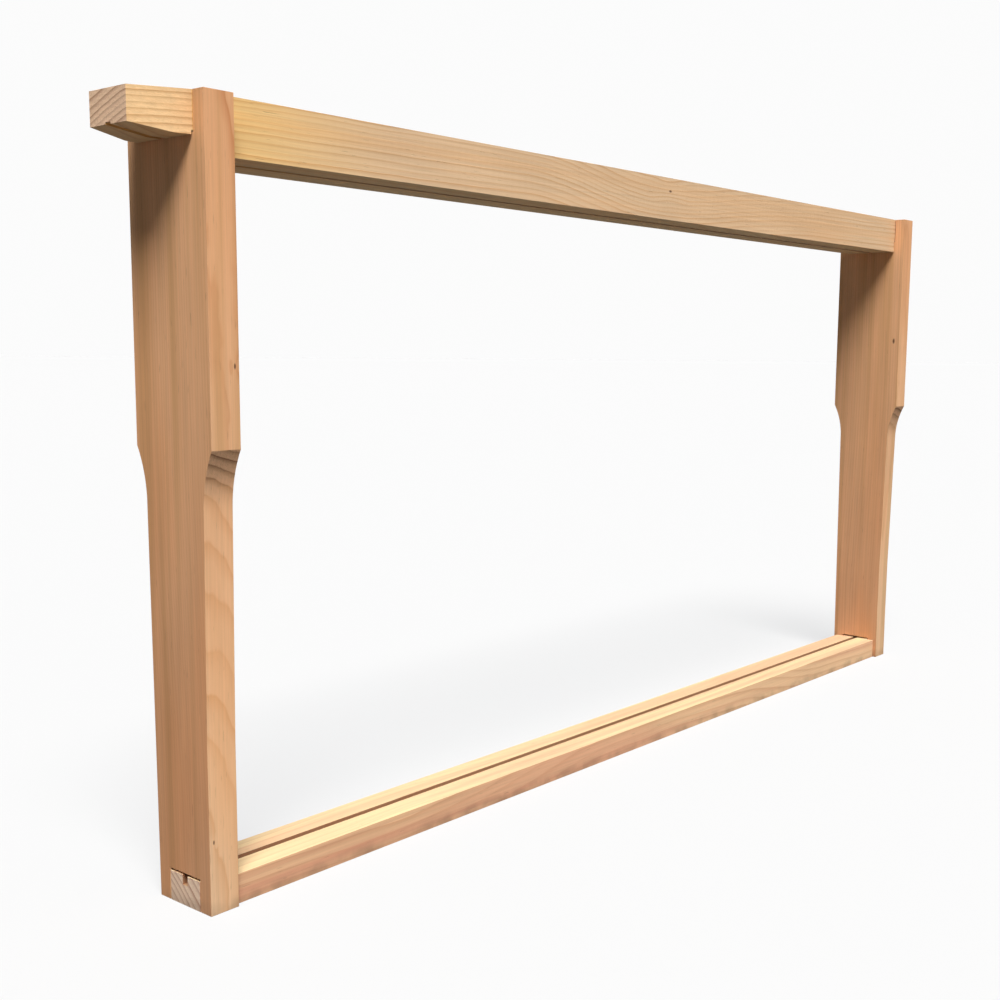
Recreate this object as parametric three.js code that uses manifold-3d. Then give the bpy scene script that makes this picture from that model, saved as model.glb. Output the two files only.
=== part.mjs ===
// Wooden hive frame: the hanging frame of a beehive, in which bees build one comb.
// A top bar with two lugs, two self-spacing end bars, a bottom bar and eight nails.
// Units are millimetres. X runs along the frame, Y across it, Z up.
// The origin is the middle of the footprint, on the surface that the end bars stand on.
import * as THREE from 'three';
import { mergeVertices } from 'three/addons/utils/BufferGeometryUtils.js';
import Module from 'manifold-3d';

const wasm = await Module();
wasm.setup();

// Whole frame
const FRAME_LENGTH = 448;        // over the outer faces of the end bars
const FRAME_HEIGHT = 231;        // from the foot of the end bars to the top of the top bar
const LUG_REACH = 17.5;          // how far each lug stands out past its end bar
const FIT_GAP = 0.3;             // clearance between pieces that touch

// End bars
const END_BAR_THICKNESS = 10;
const END_BAR_UPPER_WIDTH = 35;  // the wide part, which spaces neighbouring frames
const END_BAR_WAIST_WIDTH = 26.6; // just below the shoulders
const END_BAR_FOOT_WIDTH = 24.4; // the narrow part, which leaves a way for the bees
const TAPER_END_HEIGHT = 50;     // where the taper from waist to foot ends
const SHOULDER_HEIGHT = 135;     // arris where the wide part ends
const SHOULDER_RADIUS = 36;      // hollow curve from the arris down to the waist
const SHOULDER_STEPS = 8;

// Top bar
const TOP_BAR_WIDTH = 25;
const TOP_BAR_DEPTH = 16.3;      // between the end bars
const LUG_THICKNESS = 11.7;      // at the root of each lug
const DADO_DEPTH = 1;            // shallow slot under the lug that locks the bar onto its end bar
const LUG_TIP_WIDTH = 16.8;
const LUG_TIP_DROP = 0.8;        // fall of the top face at the tip
const LUG_TIP_RISE = 1.6;        // rise of the underside at the tip
const LUG_FLAT_LENGTH = 5;       // level part of the underside, which rests on the hive's ledge

// Bottom bar
const BOTTOM_BAR_WIDTH = 21;
const BOTTOM_BAR_HEIGHT = 9.2;
const TENON_WIDTH = 14;          // the narrowed end that passes through the end bar
const NOTCH_HEADROOM = 0.7;      // space over the tenon in its notch

// Foundation grooves, which hold the edge of the wax sheet
const GROOVE_WIDTH = 2.4;
const TOP_GROOVE_DEPTH = 6.8;
const BOTTOM_GROOVE_DEPTH = 3;

// Nails
const NAIL_SIDES = 10;
const NAIL_SHANK_DIAMETER = 1.4;
const NAIL_HEAD_DIAMETER = 2.8;
const NAIL_HEAD_THICKNESS = 0.6;
const NAIL_POINT_LENGTH = 1.8;
const TOP_NAIL_LENGTH = 25;
const BOTTOM_NAIL_LENGTH = 20;
const TOP_NAIL_SPREAD = 13;      // between the two nails of one end, across the frame
const BOTTOM_NAIL_SPREAD = 8.6;
const HEAD_SINK = 0.3;           // depth of each head below the wood

const OVERCUT = 1;               // how far a cutting tool runs past the face that it leaves

// Places worked out from the driving dimensions
const OUTER_X = FRAME_LENGTH / 2;
const INNER_X = OUTER_X - END_BAR_THICKNESS;
const NAIL_X = OUTER_X - END_BAR_THICKNESS / 2;
const TIP_X = OUTER_X + LUG_REACH;
const LUG_UNDERSIDE_Z = FRAME_HEIGHT - LUG_THICKNESS;
const SEAT_Z = LUG_UNDERSIDE_Z + DADO_DEPTH;
const TOP_BAR_UNDERSIDE_Z = FRAME_HEIGHT - TOP_BAR_DEPTH;

const PINE_SIDE = new THREE.Color(0.80, 0.62, 0.42);
const PINE_PALE = new THREE.Color(0.86, 0.71, 0.50);
const STEEL = new THREE.Color(0.55, 0.55, 0.57);

const frame = new THREE.Group();

function addPiece(name, geometry, color, roughness, metalness) {
  const material = new THREE.MeshStandardMaterial({ color, roughness, metalness });
  const mesh = new THREE.Mesh(geometry, material);
  mesh.name = name;
  frame.add(mesh);
  return mesh;
}

function toSolid(geometry) {
  const bare = geometry.clone();
  bare.deleteAttribute('normal');
  bare.deleteAttribute('uv');
  const merged = mergeVertices(bare, 1e-4);
  return new wasm.Manifold(new wasm.Mesh({
    numProp: 3,
    vertProperties: new Float32Array(merged.attributes.position.array),
    triVerts: new Uint32Array(merged.index.array),
  }));
}

function toGeometry(solid) {
  const mesh = solid.getMesh();
  const geometry = new THREE.BufferGeometry();
  geometry.setAttribute('position', new THREE.BufferAttribute(mesh.vertProperties, 3));
  geometry.setIndex(new THREE.BufferAttribute(mesh.triVerts, 1));
  geometry.computeVertexNormals();
  return geometry;
}

function cut(geometry, cutters) {
  let solid = toSolid(geometry);
  for (const cutter of cutters) solid = solid.subtract(toSolid(cutter));
  return toGeometry(solid);
}

function box(low, high) {
  const size = high.map((value, axis) => value - low[axis]);
  const geometry = new THREE.BoxGeometry(...size);
  geometry.translate(...low.map((value, axis) => value + size[axis] / 2));
  return geometry;
}

// A prism whose outline lies in the XY plane, from one height to another.
function prismAlongZ(points, lowZ, highZ) {
  const shape = new THREE.Shape(points.map(([x, y]) => new THREE.Vector2(x, y)));
  const geometry = new THREE.ExtrudeGeometry(shape, { depth: highZ - lowZ, bevelEnabled: false });
  return geometry.translate(0, 0, lowZ);
}

// A prism whose outline is given as (x, z), centred on Y.
function prismAlongY(points, width) {
  const geometry = prismAlongZ(points, -width / 2, width / 2);
  return geometry.rotateX(Math.PI / 2);
}

// A prism whose outline is given as (y, z), from one X to another.
function prismAlongX(points, lowX, highX) {
  const geometry = prismAlongZ(points, lowX, highX);
  geometry.applyMatrix4(new THREE.Matrix4().makeBasis(
    new THREE.Vector3(0, 1, 0), new THREE.Vector3(0, 0, 1), new THREE.Vector3(1, 0, 0)));
  return geometry;
}

// The hole for one nail: a shank hole and a pocket for its head.
// "up" is +1 for a nail driven down from above and -1 for one driven up from below.
function nailHole(x, y, faceZ, length, up) {
  const shankRadius = NAIL_SHANK_DIAMETER / 2 + FIT_GAP;
  const headRadius = NAIL_HEAD_DIAMETER / 2 + FIT_GAP;
  const depth = length + HEAD_SINK + FIT_GAP;
  const pocketDepth = HEAD_SINK + NAIL_HEAD_THICKNESS + FIT_GAP;
  return [[shankRadius, depth], [headRadius, pocketDepth]].map(([radius, reach]) => {
    const hole = new THREE.CylinderGeometry(radius, radius, reach + OVERCUT, NAIL_SIDES);
    hole.rotateX(Math.PI / 2);
    return hole.translate(x, y, faceZ + up * (OVERCUT - reach) / 2);
  });
}

const nailPlaces = [];
for (const [sideName, side] of [['left', -1], ['right', 1]]) {
  for (const [rowName, row] of [['front', -1], ['back', 1]]) {
    nailPlaces.push({
      name: `top_nail_${sideName}_${rowName}`, x: side * NAIL_X, y: row * TOP_NAIL_SPREAD / 2,
      faceZ: FRAME_HEIGHT, length: TOP_NAIL_LENGTH, up: 1,
    });
    nailPlaces.push({
      name: `bottom_nail_${sideName}_${rowName}`, x: side * NAIL_X, y: row * BOTTOM_NAIL_SPREAD / 2,
      faceZ: 0, length: BOTTOM_NAIL_LENGTH, up: -1,
    });
  }
}

function nailHolesWhere(test) {
  return nailPlaces.filter(test)
    .flatMap((nail) => nailHole(nail.x, nail.y, nail.faceZ, nail.length, nail.up));
}

// Top bar: a deep bar between the end bars, thinner over them, and a tapered lug at each end.
function makeTopBar() {
  const levelEndX = OUTER_X + LUG_FLAT_LENGTH;
  const half = [
    [INNER_X - FIT_GAP, TOP_BAR_UNDERSIDE_Z],
    [INNER_X - FIT_GAP, SEAT_Z],
    [OUTER_X + FIT_GAP, SEAT_Z],
    [OUTER_X + FIT_GAP, LUG_UNDERSIDE_Z],
    [levelEndX, LUG_UNDERSIDE_Z],
    [TIP_X, LUG_UNDERSIDE_Z + LUG_TIP_RISE],
    [TIP_X, FRAME_HEIGHT - LUG_TIP_DROP],
    [OUTER_X, FRAME_HEIGHT],
  ];
  const outline = [...half, ...half.map(([x, z]) => [-x, z]).reverse()];
  const bar = prismAlongY(outline, TOP_BAR_WIDTH);
  const cutters = [];
  for (const side of [-1, 1]) {
    for (const row of [-1, 1]) {
      const wide = row * TOP_BAR_WIDTH / 2;
      const narrow = row * LUG_TIP_WIDTH / 2;
      const slope = (wide - narrow) / LUG_REACH;
      const wedge = [
        [side * OUTER_X, wide],
        [side * (TIP_X + OVERCUT), narrow - slope * OVERCUT],
        [side * (TIP_X + OVERCUT), wide + row * OVERCUT],
        [side * OUTER_X, wide + row * OVERCUT],
      ];
      cutters.push(prismAlongZ(wedge, LUG_UNDERSIDE_Z - OVERCUT, FRAME_HEIGHT + OVERCUT));
    }
  }
  cutters.push(box(
    [-TIP_X - OVERCUT, -GROOVE_WIDTH / 2, TOP_BAR_UNDERSIDE_Z - OVERCUT],
    [TIP_X + OVERCUT, GROOVE_WIDTH / 2, TOP_BAR_UNDERSIDE_Z + TOP_GROOVE_DEPTH]));
  cutters.push(...nailHolesWhere((nail) => nail.up > 0));
  return cut(bar, cutters);
}

// Half of an end bar's outline as (y, z), from the foot notch up to the top notch.
function endBarHalfOutline() {
  const foot = END_BAR_FOOT_WIDTH / 2;
  const waist = END_BAR_WAIST_WIDTH / 2;
  const upper = END_BAR_UPPER_WIDTH / 2;
  const footNotch = TENON_WIDTH / 2 + FIT_GAP;
  const topNotch = TOP_BAR_WIDTH / 2 + FIT_GAP;
  const arcEnd = Math.acos(1 - (upper - waist) / SHOULDER_RADIUS);
  const arcFootZ = SHOULDER_HEIGHT - SHOULDER_RADIUS * Math.sin(arcEnd);
  const points = [
    [footNotch, BOTTOM_BAR_HEIGHT + NOTCH_HEADROOM],
    [footNotch, 0],
    [foot, 0],
    [foot, TAPER_END_HEIGHT],
  ];
  for (let step = 0; step <= SHOULDER_STEPS; step += 1) {
    const angle = arcEnd * step / SHOULDER_STEPS;
    points.push([
      waist + SHOULDER_RADIUS * (1 - Math.cos(angle)),
      arcFootZ + SHOULDER_RADIUS * Math.sin(angle),
    ]);
  }
  points.push([upper, FRAME_HEIGHT], [topNotch, FRAME_HEIGHT], [topNotch, SEAT_Z - FIT_GAP]);
  return points;
}

// End bar: shouldered on both edges, notched for the lug above and the tenon below.
function makeEndBar(side) {
  const half = endBarHalfOutline();
  const outline = [...half, ...half.map(([y, z]) => [-y, z]).reverse()];
  const bar = prismAlongX(outline, Math.min(side * INNER_X, side * OUTER_X),
    Math.max(side * INNER_X, side * OUTER_X));
  return cut(bar, nailHolesWhere((nail) => Math.sign(nail.x) === side));
}

// Bottom bar: grooved along its top, narrowed to a tenon at each end.
function makeBottomBar() {
  const shoulderX = INNER_X - FIT_GAP;
  const wide = BOTTOM_BAR_WIDTH / 2;
  const tenon = TENON_WIDTH / 2;
  const quarter = [[OUTER_X, tenon], [shoulderX, tenon], [shoulderX, wide]];
  const back = [...quarter, ...quarter.map(([x, y]) => [-x, y]).reverse()];
  const outline = [...back, ...back.map(([x, y]) => [x, -y]).reverse()];
  const bar = prismAlongZ(outline, 0, BOTTOM_BAR_HEIGHT);
  const groove = box(
    [-OUTER_X - OVERCUT, -GROOVE_WIDTH / 2, BOTTOM_BAR_HEIGHT - BOTTOM_GROOVE_DEPTH],
    [OUTER_X + OVERCUT, GROOVE_WIDTH / 2, BOTTOM_BAR_HEIGHT + OVERCUT]);
  return cut(bar, [groove, ...nailHolesWhere((nail) => nail.up < 0)]);
}

// Nail standing on its point at the origin, head up.
function makeNail(length) {
  const shank = NAIL_SHANK_DIAMETER / 2;
  const head = NAIL_HEAD_DIAMETER / 2;
  const profile = [
    [0, 0], [shank, NAIL_POINT_LENGTH], [shank, length - NAIL_HEAD_THICKNESS],
    [head, length - NAIL_HEAD_THICKNESS], [head, length], [0, length],
  ].map(([radius, height]) => new THREE.Vector2(radius, height));
  return new THREE.LatheGeometry(profile, NAIL_SIDES).rotateX(Math.PI / 2);
}

addPiece('top_bar', makeTopBar(), PINE_PALE, 0.62, 0);
addPiece('end_bar_left', makeEndBar(-1), PINE_SIDE, 0.62, 0);
addPiece('end_bar_right', makeEndBar(1), PINE_SIDE, 0.62, 0);
addPiece('bottom_bar', makeBottomBar(), PINE_PALE, 0.62, 0);

for (const nail of nailPlaces) {
  const piece = addPiece(nail.name, makeNail(nail.length), STEEL, 0.4, 0.9);
  const pointZ = nail.faceZ - nail.up * (HEAD_SINK + nail.length);
  piece.position.set(nail.x, nail.y, pointZ);
  if (nail.up < 0) piece.rotation.x = Math.PI;
}

export default frame;
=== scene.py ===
"""Wooden hive frame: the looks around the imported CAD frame. Metres, +Z up."""

import math

import bmesh
import bpy
from mathutils import Euler, Matrix, Vector


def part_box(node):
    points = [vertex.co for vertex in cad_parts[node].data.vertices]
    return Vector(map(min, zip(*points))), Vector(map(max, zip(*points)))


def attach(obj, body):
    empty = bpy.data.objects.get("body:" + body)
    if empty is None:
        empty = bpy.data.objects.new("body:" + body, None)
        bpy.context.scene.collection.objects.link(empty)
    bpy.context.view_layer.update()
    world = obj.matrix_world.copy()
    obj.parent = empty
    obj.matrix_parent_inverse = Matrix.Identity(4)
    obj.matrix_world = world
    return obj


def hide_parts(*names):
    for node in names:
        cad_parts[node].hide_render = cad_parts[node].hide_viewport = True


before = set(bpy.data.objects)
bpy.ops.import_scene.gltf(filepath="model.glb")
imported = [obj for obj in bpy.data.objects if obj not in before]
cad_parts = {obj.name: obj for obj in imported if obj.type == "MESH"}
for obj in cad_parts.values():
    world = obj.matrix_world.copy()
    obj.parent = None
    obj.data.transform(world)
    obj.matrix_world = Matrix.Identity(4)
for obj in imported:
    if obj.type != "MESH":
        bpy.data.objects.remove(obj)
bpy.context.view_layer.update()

MM = 0.001

# ---------------------------------------------------------------- camera

CAMERA_PLACE = (-0.4455, -0.3122, 0.1629)
CAMERA_YAW = 49.87       # degrees from +Y towards +X
CAMERA_PITCH = -7.74     # degrees, downwards
CAMERA_ROLL = 0.40       # degrees
CAMERA_LENS = 47.52      # millimetres on a 36 mm sensor
CAMERA_SHIFT = (-0.0140, 0.0297)   # in picture widths, from the fit to the photo


def make_camera():
    data = bpy.data.cameras.new("camera")
    data.lens = CAMERA_LENS
    data.sensor_width = 36
    data.shift_x, data.shift_y = CAMERA_SHIFT
    data.clip_start = 0.01
    data.clip_end = 100
    camera = bpy.data.objects.new("camera", data)
    camera.location = CAMERA_PLACE
    turn = Euler((math.radians(90 + CAMERA_PITCH), 0, math.radians(-CAMERA_YAW))).to_matrix()
    roll = Matrix.Rotation(math.radians(CAMERA_ROLL), 3, "Z")
    camera.rotation_euler = (turn @ roll).to_euler()
    bpy.context.scene.collection.objects.link(camera)
    bpy.context.scene.camera = camera


# ---------------------------------------------------------------- node helpers


def linear(red, green, blue):
    """A colour written as screen values from 0 to 1, as the shader's linear values."""
    def convert(value):
        return value / 12.92 if value <= 0.04045 else ((value + 0.055) / 1.055) ** 2.4
    return (convert(red), convert(green), convert(blue), 1.0)


class Nodes:
    """Short ways to make and link shader nodes in one material."""

    def __init__(self, material):
        material.use_nodes = True
        self.tree = material.node_tree
        self.tree.nodes.clear()

    def add(self, kind, **settings):
        node = self.tree.nodes.new(kind)
        for key, value in settings.items():
            setattr(node, key, value)
        return node

    def set(self, socket, value):
        if isinstance(value, bpy.types.NodeSocket):
            self.tree.links.new(value, socket)
        else:
            socket.default_value = value

    def math(self, operation, a, b=0.0, c=0.0):
        node = self.add("ShaderNodeMath", operation=operation)
        for socket, value in zip(node.inputs, (a, b, c)):
            self.set(socket, value)
        return node.outputs[0]

    def total(self, start, *parts):
        """start plus every (value, weight), multiplied."""
        for value, weight in parts:
            start = self.math("MULTIPLY_ADD", value, weight, start)
        return start

    def join(self, x, y, z):
        node = self.add("ShaderNodeCombineXYZ")
        for socket, value in zip(node.inputs, (x, y, z)):
            self.set(socket, value)
        return node.outputs[0]

    def split(self, vector):
        node = self.add("ShaderNodeSeparateXYZ")
        self.set(node.inputs[0], vector)
        return node.outputs

    def distance(self, a, b):
        """The length of the vector (a, b)."""
        return self.math("SQRT", self.math(
            "ADD", self.math("POWER", a, 2.0), self.math("POWER", b, 2.0)))

    def noise(self, vector, detail, roughness=0.5):
        node = self.add("ShaderNodeTexNoise")
        self.set(node.inputs["Vector"], vector)
        self.set(node.inputs["Scale"], 1.0)
        self.set(node.inputs["Detail"], detail)
        self.set(node.inputs["Roughness"], roughness)
        return node.outputs["Fac"]

    def remap(self, value, low, high, to_low=0.0, to_high=1.0):
        node = self.add("ShaderNodeMapRange", interpolation_type="SMOOTHSTEP")
        for socket, number in zip(node.inputs, (value, low, high, to_low, to_high)):
            self.set(socket, number)
        return node.outputs[0]

    def mix(self, factor, a, b, blend="MIX"):
        node = self.add("ShaderNodeMix", data_type="RGBA", blend_type=blend)
        self.set(node.inputs["Factor"], factor)
        self.set(node.inputs["A"], a)
        self.set(node.inputs["B"], b)
        return node.outputs["Result"]

    def ramp(self, value, stops):
        """stops is a list of (place, grey level)."""
        node = self.add("ShaderNodeValToRGB")
        ramp = node.color_ramp
        ramp.elements[0].position, ramp.elements[1].position = stops[0][0], stops[-1][0]
        for place, _ in stops[1:-1]:
            ramp.elements.new(place)
        for element, (_, level) in zip(ramp.elements, stops):
            element.color = (level, level, level, 1)
        self.set(node.inputs[0], value)
        return node.outputs[0]

    def relief(self, height, strength, depth):
        node = self.add("ShaderNodeBump")
        self.set(node.inputs["Strength"], strength)
        self.set(node.inputs["Distance"], depth)
        self.set(node.inputs["Height"], height)
        return node.outputs[0]

    def surface(self, sockets):
        """Ends the material in one principled shader with these inputs."""
        shader = self.add("ShaderNodeBsdfPrincipled")
        for name, value in sockets.items():
            self.set(shader.inputs[name], value)
        output = self.add("ShaderNodeOutputMaterial")
        self.set(output.inputs["Surface"], shader.outputs[0])


# ---------------------------------------------------------------- wood

# Colours of planed pine as (early wood, late wood) on the long faces and on the end grain.
# "flat" and "edge" tint the faces across the first and the second direction off the grain,
# each at the start and at the stop of the board, partly as the faces' own colour and partly as
# painted light and shade for how the light falls on each face; "contrast" is how much the rings
# show there.
TOP_BAR_COLOURS = {
    "early": (0.925, 0.800, 0.600), "late": (0.820, 0.610, 0.370),
    "end_early": (0.965, 0.820, 0.690), "end_late": (0.640, 0.450, 0.340),
    "warm": (0.935, 0.740, 0.500), "streak": (0.930, 0.765, 0.540),
    "flat": ((1.12, 1.02, 0.74), (0.93, 0.90, 1.05)),
    "edge": ((0.86, 0.84, 0.86), (0.86, 0.86, 0.92)),
    "contrast": (0.80, 0.60),
}
END_BAR_COLOURS = {
    "early": (0.890, 0.705, 0.540), "late": (0.780, 0.530, 0.340),
    "end_early": (0.900, 0.715, 0.560), "end_late": (0.480, 0.300, 0.190),
    "warm": (0.900, 0.640, 0.430), "streak": (0.780, 0.600, 0.410),
    "flat": ((0.85, 0.77, 0.75), (1.10, 1.04, 1.00)),
    "edge": ((1.08, 1.21, 1.33), (1.05, 0.94, 0.86)),
    "contrast": (0.42, 0.85),
}
BOTTOM_BAR_COLOURS = {
    "early": (0.925, 0.770, 0.590), "late": (0.800, 0.590, 0.430),
    "end_early": (0.930, 0.820, 0.720), "end_late": (0.660, 0.440, 0.350),
    "warm": (0.900, 0.670, 0.530), "streak": (0.860, 0.600, 0.480),
    "flat": ((0.94, 0.87, 0.91), (1.04, 1.04, 1.10)),
    "edge": ((0.97, 1.16, 1.20), (0.92, 1.12, 1.16)),
    "contrast": (0.72, 0.45),
}
# painted shade inside the grooves
GROOVE_SHADE_COLOUR = (0.50, 0.33, 0.20)
FOOT_DARK_COLOUR = (0.46, 0.36, 0.28)
RUBBED_COLOUR = (0.66, 0.49, 0.34)
KNOT_COLOUR = (0.30, 0.17, 0.10)

# Noise scales in waves per metre, along the grain and across it
BEND = (9.0, 30.0)
WAVE = (70.0, 190.0)
FIBRE = (22.0, 1500.0)
DUCT = (160.0, 2600.0)
TONE = (7.0, 35.0)
BLOTCH = (26.0, 90.0)
STREAK = (3.0, 190.0)
RUB = (90.0, 90.0)
FOOT_DARK = (120.0, 120.0)
PORE = (40.0, 4200.0)
SAW_MARKS = (500.0, 260.0, 1300.0)   # along x, y and z
RING_WIDTHS = 160.0                  # across the rings

WAVE_HEIGHT = 0.55 * MM
FOOT_DARK_HEIGHT = 5 * MM
PLANE_MARK_PITCH = 3.4 * MM
RELIEF_DEPTH = 0.12 * MM
KNOT_SHAPE = 0.45        # a knot's width across the grain over its length along it
# How dark the wood is from one growth ring's start to the next: (place, level)
RING_PROFILE = [(0.0, 0.10), (0.12, 0.0), (0.50, 0.10), (0.80, 0.62), (0.93, 1.0), (1.0, 0.10)]


class Board:
    """Where a shaded point is in its board, and which way its face looks."""

    def __init__(self, n, grain, seed):
        self.n, self.seed = n, seed
        self.x, self.y, self.z = n.split(n.add("ShaderNodeTexCoord").outputs["Object"])
        facing = n.split(n.add("ShaderNodeNewGeometry").outputs["True Normal"])
        if grain == "X":
            self.along, self.first, self.second = self.x, self.y, self.z
            end_facing, edge_facing = facing[0], facing[2]
        else:
            self.along, self.first, self.second = self.z, self.x, self.y
            end_facing, edge_facing = facing[2], facing[1]
        self.end = n.remap(n.math("ABSOLUTE", end_facing), 0.06, 0.40)
        self.edge = n.remap(n.math("ABSOLUTE", edge_facing), 0.4, 0.7)

    def noise(self, scales, shift, detail, roughness=0.5):
        """Noise stretched along the grain."""
        n, seed = self.n, self.seed
        along_scale, across_scale = scales
        return n.noise(n.join(
            n.math("MULTIPLY_ADD", self.along, along_scale, seed + shift),
            n.math("MULTIPLY_ADD", self.first, across_scale, seed * 1.7 + shift),
            n.math("MULTIPLY_ADD", self.second, across_scale, seed * 0.6 - shift)),
            detail, roughness)


def ring_radius(n, board, pith, tilt, bend, shifts):
    """The distance from a leaning pith, bent by slow and fine waves and slanted by shifts."""
    radius = n.distance(
        n.math("SUBTRACT", board.first, n.math("MULTIPLY_ADD", board.along, tilt[0], pith[0])),
        n.math("SUBTRACT", board.second, n.math("MULTIPLY_ADD", board.along, tilt[1], pith[1])))
    slow = n.math("SUBTRACT", board.noise(BEND, 0.0, 2.0), 0.5)
    wavy = n.math("SUBTRACT", board.noise(WAVE, 3.0, 2.0), 0.5)
    radius = n.math("MULTIPLY_ADD", slow, bend, radius)
    radius = n.math("MULTIPLY_ADD", wavy, WAVE_HEIGHT, radius)
    for start, stop, amount in shifts:
        radius = n.math("ADD", radius, n.remap(board.along, start, stop, 0.0, amount))
    return radius


def add_knots(n, board, radius, knots):
    """The radius with the rings pushed aside by the knots, and a mask of the knots."""
    mask = 0.0
    for knot_along, knot_across, axis, size, swell in knots:
        across = {"X": board.x, "Y": board.y, "Z": board.z}[axis]
        offset = n.math("SUBTRACT", across, knot_across)
        distance = n.distance(
            n.math("MULTIPLY", n.math("SUBTRACT", board.along, knot_along), KNOT_SHAPE),
            offset)
        side = n.remap(offset, -swell * 2 * MM, swell * 2 * MM, -1.0, 1.0)
        push = n.remap(distance, 0.0, swell * 3.0 * MM, swell * 0.9 * MM, 0.0)
        radius = n.math("ADD", radius, n.math("MULTIPLY", push, side))
        mask = n.math("MAXIMUM", mask, n.remap(distance, size * 0.35, size, 1.0, 0.0))
    return radius, mask


def late_wood(n, radius, ring, seed):
    """How much dark late wood there is, in rings of uneven width and strength."""
    uneven = n.noise(n.join(n.math("MULTIPLY", radius, RING_WIDTHS), seed * 3.1, 0.0), 1.0)
    turn = n.math("MULTIPLY_ADD", uneven, 1.4, n.math("DIVIDE", radius, ring))
    late = n.ramp(n.math("FRACT", turn), RING_PROFILE)
    strength = n.noise(n.join(n.math("FLOOR", turn), seed, 2.0), 0.0)
    return n.math("MULTIPLY", late, n.remap(strength, 0.30, 0.70, 0.45, 1.0))


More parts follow.
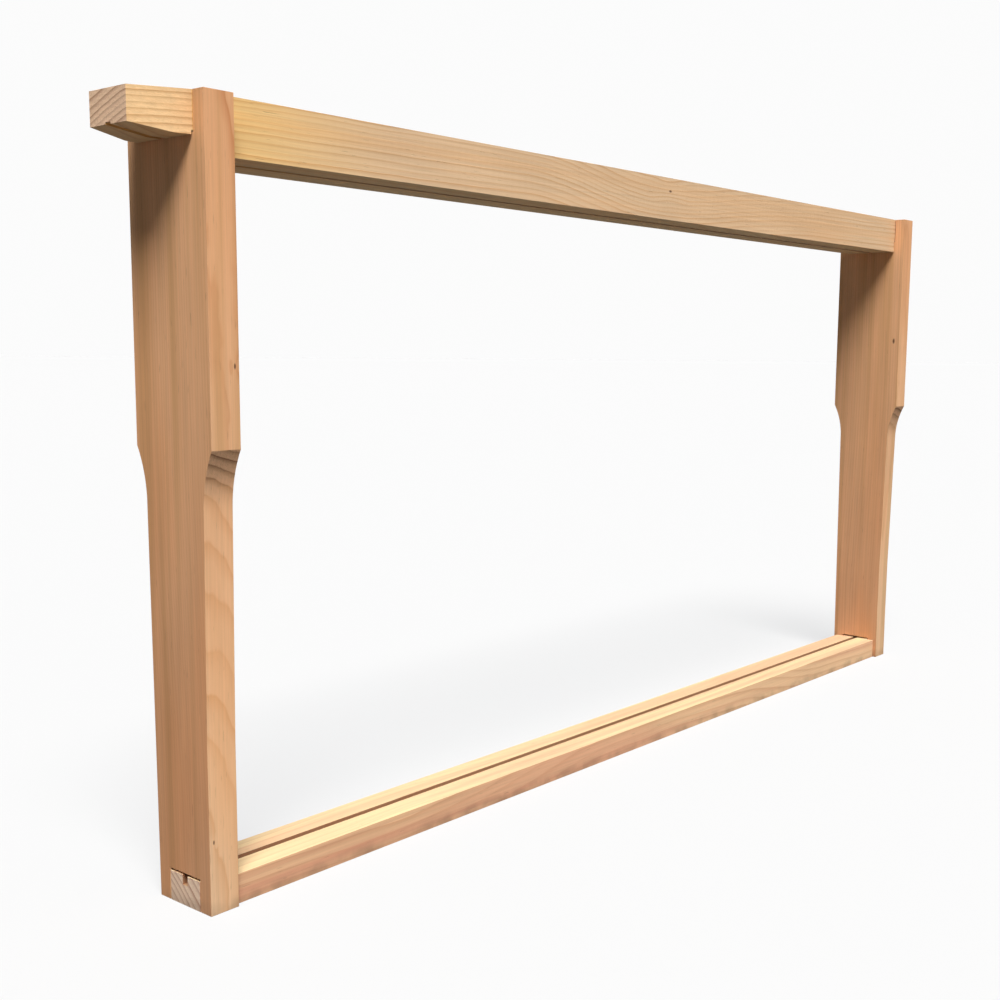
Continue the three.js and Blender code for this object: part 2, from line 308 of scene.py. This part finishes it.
def wood(name, grain, length, pith, tilt, ring, colours, seed,
         bend=4.2 * MM, kerf=0.7, shifts=(), knots=()):
    """Solid pine, so that every face and end shows the same growth rings.

    grain is "X" or "Z". length is where the board's tone starts and stops changing along it.
    pith is where the heart of the tree passes, in the two directions across the grain, and
    tilt is how far it leans along the grain. ring is the ring width, bend the height of the
    rings' slow waves, and kerf how strongly painted shade darkens the grooves.
    shifts are (start, stop, amount): where the rings cross the board slantwise in a flame.
    knots are (along, across, across axis, radius, swell): small branches that go right through.
    """
    material = bpy.data.materials.new(name)
    n = Nodes(material)
    board = Board(n, grain, seed)
    end = board.end
    radius = ring_radius(n, board, pith, tilt, bend, shifts)
    radius, knot = add_knots(n, board, radius, knots)
    late = late_wood(n, radius, ring, seed)
    paint = {key: linear(*colours[key])
             for key in ("early", "late", "end_early", "end_late", "warm", "streak")}

    # Fibres, resin ducts and slow changes of tone.
    fibre = board.noise(FIBRE, 5.0, 4.0, 0.6)
    duct = n.math("MULTIPLY", n.remap(board.noise(DUCT, 9.0, 1.0), 0.70, 0.80),
                  n.math("SUBTRACT", 1.0, end))
    tone = board.noise(TONE, 11.0, 2.0)
    blotch = board.noise(BLOTCH, 17.0, 3.0)
    streak = board.noise(STREAK, 27.0, 2.0)

    # The long faces, each with its own strength of figure and its own tint; the tint is partly the
    # face's own colour and partly painted light and shade for how the light falls on each face and
    # along it.
    long_late = n.math("MULTIPLY", late, n.remap(board.edge, 0.0, 1.0, *colours["contrast"]))
    long_colour = n.mix(long_late, paint["early"], paint["late"])
    long_colour = n.mix(n.remap(tone, 0.42, 0.72, 0.0, 0.55), long_colour, paint["warm"])
    long_colour = n.mix(n.remap(streak, 0.45, 0.68, 0.0, 0.6), long_colour, paint["streak"])
    travel = n.remap(board.along, *length)
    flat_tint_and_shade, edge_tint_and_shade = (
        n.mix(travel, (*colours[kind][0], 1), (*colours[kind][1], 1)) for kind in ("flat", "edge"))
    face_tint_and_shade = n.mix(board.edge, flat_tint_and_shade, edge_tint_and_shade)
    long_colour = n.mix(1.0, long_colour, face_tint_and_shade, "MULTIPLY")

    # The end grain, with open pores.
    pore = n.noise(n.join(
        n.math("MULTIPLY", board.along, PORE[0]),
        n.math("MULTIPLY_ADD", board.first, PORE[1], seed),
        n.math("MULTIPLY_ADD", board.second, PORE[1], seed)), 2.0, 0.6)
    end_colour = n.mix(late, paint["end_early"], paint["end_late"])
    end_colour = n.mix(n.remap(pore, 0.50, 0.75, 0.0, 0.35), end_colour, paint["end_late"])
    colour = n.mix(end, long_colour, end_colour)

    shade = n.total(1.0, (n.math("SUBTRACT", fibre, 0.5), 0.34),
                    (n.math("SUBTRACT", blotch, 0.5), 0.22))
    shade = n.math("MULTIPLY", shade, n.total(1.0, (duct, -0.26)))
    colour = n.mix(1.0, colour, n.join(shade, shade, shade), "MULTIPLY")

    # Arrises rubbed a little darker and smoother, unevenly; painted shade in the grooves, darker
    # towards the feet, knots.
    arris = n.add("ShaderNodeAttribute", attribute_name="arris").outputs["Fac"]
    rub = n.math("MULTIPLY", arris, n.remap(board.noise(RUB, 21.0, 3.0), 0.35, 0.65))
    colour = n.mix(n.math("MULTIPLY", rub, 0.35), colour, linear(*RUBBED_COLOUR))
    # painted shade: the grooves darkened where shade falls in them
    groove_shade = n.add("ShaderNodeAttribute", attribute_name="groove_shade").outputs["Fac"]
    colour = n.mix(n.math("MULTIPLY", groove_shade, kerf), colour, linear(*GROOVE_SHADE_COLOUR))
    # darker within the lowest few millimetres of the wood, unevenly
    foot_dark = n.math("MULTIPLY", n.remap(board.z, 0.0, FOOT_DARK_HEIGHT, 1.0, 0.0),
                  n.remap(board.noise(FOOT_DARK, 31.0, 3.0), 0.35, 0.70, 0.1, 0.5))
    colour = n.mix(foot_dark, colour, linear(*FOOT_DARK_COLOUR))
    colour = n.mix(n.math("MULTIPLY", knot, 0.85), colour, linear(*KNOT_COLOUR))

    # Relief: late wood stands a little proud, fibres are furry, ends are sawn.
    saw = n.noise(n.join(*(
        n.math("MULTIPLY", part, scale)
        for part, scale in zip((board.x, board.y, board.z), SAW_MARKS))), 2.0)
    plane_mark = n.math("SINE", n.math(
        "MULTIPLY", board.along, 2 * math.pi / PLANE_MARK_PITCH))
    relief = n.total(
        0.0, (fibre, 0.75), (late, 0.30), (duct, -0.4),
        (n.math("MULTIPLY", end, saw), 1.1), (n.math("MULTIPLY", end, pore), -0.8),
        (n.math("MULTIPLY", n.math("SUBTRACT", 1.0, end), plane_mark), 0.03))
    rough = n.total(0.50, (fibre, 0.22), (end, 0.16), (rub, -0.12))
    n.surface({
        "Base Color": colour, "Roughness": rough, "Specular IOR Level": 0.28,
        "Normal": n.relief(relief, 0.55, RELIEF_DEPTH)})
    return material


# ---------------------------------------------------------------- wooden pieces

ARRIS = 0.45 * MM        # how far every arris is eased
ARRIS_STEPS = 3
SAME_PLACE = 0.001 * MM  # corners that are closer are one corner
FLAT = math.radians(1)   # faces that meet at less are one face
SHARP = math.radians(25)
KERF = 1.3 * MM          # half of the width that the sawn grooves keep within


def in_kerf(item):
    """Whether an edge or a face is inside a sawn groove."""
    return all(abs(vert.co.y) < KERF for vert in item.verts)


def finish_piece(name, work, material):
    """Turns the bmesh into a smooth-shaded object and frees it."""
    for face in work.faces:
        face.smooth = True
    mesh = bpy.data.meshes.new(name)
    work.to_mesh(mesh)
    work.free()
    mesh.materials.append(material)
    piece = bpy.data.objects.new(name, mesh)
    bpy.context.scene.collection.objects.link(piece)
    return piece


def make_board(node, material):
    """The CAD board with its flat faces joined up and every arris eased but the grooves'."""
    work = bmesh.new()
    work.from_mesh(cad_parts[node].data)
    worn = work.faces.layers.float.new("arris")
    # faces inside the grooves, where painted shade darkens the wood
    groove_shade = work.faces.layers.float.new("groove_shade")
    bmesh.ops.remove_doubles(work, verts=work.verts, dist=SAME_PLACE)
    bmesh.ops.dissolve_limit(work, angle_limit=FLAT, verts=work.verts, edges=work.edges)

    sharp = [e for e in work.edges if e.is_manifold and e.calc_face_angle() > SHARP]
    for edge in sharp:
        if in_kerf(edge):
            edge.smooth = False
    for face in work.faces:
        face[groove_shade] = 1.0 if in_kerf(face) else 0.0
    made = bmesh.ops.bevel(
        work, geom=[e for e in sharp if not in_kerf(e)], offset=ARRIS, offset_type="OFFSET",
        segments=ARRIS_STEPS, profile=0.5, affect="EDGES", clamp_overlap=True,
        miter_outer="ARC")
    for face in made["faces"]:
        face[worn] = 1.0
        face[groove_shade] = 0.0
    bmesh.ops.triangulate(work, faces=[f for f in work.faces if len(f.verts) > 4])
    board = finish_piece(node + "_wood", work, material)
    weighted = board.modifiers.new("flat faces stay flat", "WEIGHTED_NORMAL")
    weighted.keep_sharp = True
    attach(board, "root")
    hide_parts(node)


# ---------------------------------------------------------------- nails

STEEL_BRIGHT = (0.70, 0.70, 0.70)
STEEL_STAINED = (0.44, 0.40, 0.36)
STAIN_SCALE = 900.0      # waves per metre
CHECK_PITCH = 0.5 * MM   # of the criss-cross pattern on the head
CHECK_DEPTH = 0.1 * MM
HEAD_THICKNESS = 0.6 * MM
POINT = 1.8 * MM
NAIL_SIDES = 24
MID_HEIGHT = 0.1         # nails above it point down, nails below it point up


def nail_steel():
    material = bpy.data.materials.new("nail_steel")
    n = Nodes(material)
    x, y, z = n.split(n.add("ShaderNodeTexCoord").outputs["Object"])
    stain = n.noise(n.join(*(n.math("MULTIPLY", part, STAIN_SCALE) for part in (x, y, z))), 3.0)
    pitch = 2 * math.pi / CHECK_PITCH
    check = n.math("MULTIPLY", n.math("SINE", n.math("MULTIPLY", x, pitch)),
                   n.math("SINE", n.math("MULTIPLY", y, pitch)))
    n.surface({
        "Base Color": n.mix(
            n.remap(stain, 0.4, 0.7), linear(*STEEL_BRIGHT), linear(*STEEL_STAINED)),
        "Metallic": 1.0, "Roughness": n.remap(stain, 0.3, 0.7, 0.28, 0.55),
        "Normal": n.relief(check, 0.8, CHECK_DEPTH)})
    return material


def make_nail(node, material):
    """A round wire nail with a domed head, where the CAD nail is."""
    low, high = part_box(node)
    middle = (low + high) / 2
    length = high.z - low.z
    head = (high.y - low.y) / 2
    shank = head / 2
    neck = length - HEAD_THICKNESS
    profile = [
        (0.0, 0.0), (shank * 0.55, POINT * 0.45), (shank, POINT),
        (shank, neck - shank * 0.5), (shank * 1.35, neck), (head * 0.92, neck),
        (head, length - HEAD_THICKNESS * 0.7), (head, length - HEAD_THICKNESS * 0.35),
        (head * 0.9, length - HEAD_THICKNESS * 0.08), (head * 0.5, length), (0.0, length),
    ]
    work = bmesh.new()
    ring = [work.verts.new((radius, 0, height)) for radius, height in profile]
    edges = [work.edges.new(pair) for pair in zip(ring, ring[1:])]
    bmesh.ops.spin(work, geom=ring + edges, cent=(0, 0, 0), axis=(0, 0, 1),
                   angle=2 * math.pi, steps=NAIL_SIDES)
    bmesh.ops.remove_doubles(work, verts=work.verts, dist=SAME_PLACE)
    bmesh.ops.recalc_face_normals(work, faces=work.faces)
    points_down = middle.z > MID_HEIGHT
    for vert in work.verts:
        height = low.z + vert.co.z if points_down else high.z - vert.co.z
        side = vert.co.y if points_down else -vert.co.y
        vert.co = Vector((middle.x + vert.co.x, middle.y + side, height))
    nail = finish_piece(node + "_steel", work, material)
    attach(nail, "root")
    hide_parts(node)


# ---------------------------------------------------------------- stage

# (name, towards the light, strength, degrees across)
LIGHTS = (
    ("key", Vector((-0.32, -0.37, 0.87)), 5.1, 28),
    ("fill", Vector((0.50, -0.70, 0.30)), 0.55, 60),
    ("bounce", Vector((0.0, -0.25, -1.0)), 0.24, 90),   # what a pale floor throws back
)
AMBIENT = 0.13
LIGHT_COLOUR = (1.0, 0.985, 0.96)
BACKGROUND = 0.97        # brightness of the floor and of what is behind it
FLOOR_PAINT = 0.18
FLOOR_RADIUS = 25
BACKDROP_RADIUS = 24.9


def plain(name, grey, glow):
    material = bpy.data.materials.new(name)
    Nodes(material).surface({
        "Base Color": (grey, grey, grey, 1), "Roughness": 0.9, "Specular IOR Level": 0.0,
        "Emission Color": (*glow, 1), "Emission Strength": 1.0})
    return material


def make_stage():
    world = bpy.data.worlds.new("studio")
    world.use_nodes = True
    shade = world.node_tree.nodes["Background"]
    shade.inputs["Color"].default_value = (*LIGHT_COLOUR, 1)
    shade.inputs["Strength"].default_value = AMBIENT
    bpy.context.scene.world = world

    floor_light = AMBIENT
    for name, source, strength, spread in LIGHTS:
        light = bpy.data.lights.new(name, "SUN")
        light.energy = strength
        light.angle = math.radians(spread)
        light.color = LIGHT_COLOUR
        lamp = bpy.data.objects.new(name, light)
        lamp.rotation_euler = source.to_track_quat("Z", "Y").to_euler()
        bpy.context.scene.collection.objects.link(lamp)
        floor_light += strength / math.pi * max(source.normalized().z, 0.0)

    glow = [BACKGROUND - FLOOR_PAINT * floor_light * part for part in LIGHT_COLOUR]
    bpy.ops.mesh.primitive_circle_add(vertices=96, radius=FLOOR_RADIUS, fill_type="NGON")
    floor = bpy.context.object
    floor.name = "floor"
    floor.data.materials.append(plain("floor", FLOOR_PAINT, glow))
    bpy.ops.mesh.primitive_uv_sphere_add(segments=48, ring_count=24, radius=BACKDROP_RADIUS)
    backdrop = bpy.context.object
    backdrop.name = "backdrop"
    backdrop.data.materials.append(plain("backdrop", 0.0, [BACKGROUND] * 3))
    for thing in (floor, backdrop):
        thing.visible_diffuse = False
        thing.visible_glossy = False
        thing.visible_shadow = False

    view = bpy.context.scene.view_settings
    view.view_transform = "Standard"
    view.look = "None"


# ---------------------------------------------------------------- the frame

def span(node, axis):
    """Where a node starts and stops along an axis."""
    low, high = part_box(node)
    return low[axis], high[axis]


make_camera()
make_stage()

top_centre = sum(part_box("top_bar"), Vector()) / 2
top_wood = wood(
    "top_bar_pine", "X", (-0.235, -0.14), pith=(-0.026, top_centre.z - 0.078),
    tilt=(0.010, 0.012), ring=1.9 * MM, colours=TOP_BAR_COLOURS, seed=4.3, bend=3.6 * MM,
    kerf=0.25, shifts=[(-0.085, -0.005, 10 * MM), (0.0, 0.12, -7 * MM)],
    knots=[(0.005, top_centre.z + 0.003, "Z", 0.6 * MM, 2.6)])
bottom_wood = wood(
    "bottom_bar_pine", "X", span("bottom_bar", 0), pith=(0.050, -0.046),
    tilt=(0.006, -0.004), ring=2.2 * MM, colours=BOTTOM_BAR_COLOURS, seed=9.1,
    shifts=[(-0.15, -0.02, -9 * MM), (0.06, 0.16, 6 * MM)])
left_wood = wood(
    "left_end_pine", "Z", span("end_bar_left", 2), pith=(-0.230, 0.064),
    tilt=(0.004, 0.012), ring=1.15 * MM, colours=END_BAR_COLOURS, seed=2.2, bend=3.0 * MM,
    shifts=[(0.02, 0.13, 5 * MM)],
    knots=[(0.158, -0.2155, "X", 0.5 * MM, 1.0), (0.022, -0.2225, "X", 0.4 * MM, 0.6)])
right_wood = wood(
    "right_end_pine", "Z", span("end_bar_right", 2), pith=(0.212, 0.068),
    tilt=(-0.004, 0.014), ring=1.35 * MM, colours=END_BAR_COLOURS, seed=6.7, bend=3.4 * MM,
    shifts=[(0.03, 0.16, -5 * MM)],
    knots=[(0.169, -0.0145, "Y", 0.8 * MM, 1.2)])

make_board("top_bar", top_wood)
make_board("bottom_bar", bottom_wood)
make_board("end_bar_left", left_wood)
make_board("end_bar_right", right_wood)

steel = nail_steel()
for node in sorted(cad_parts):
    if "nail" in node:
        make_nail(node, steel)
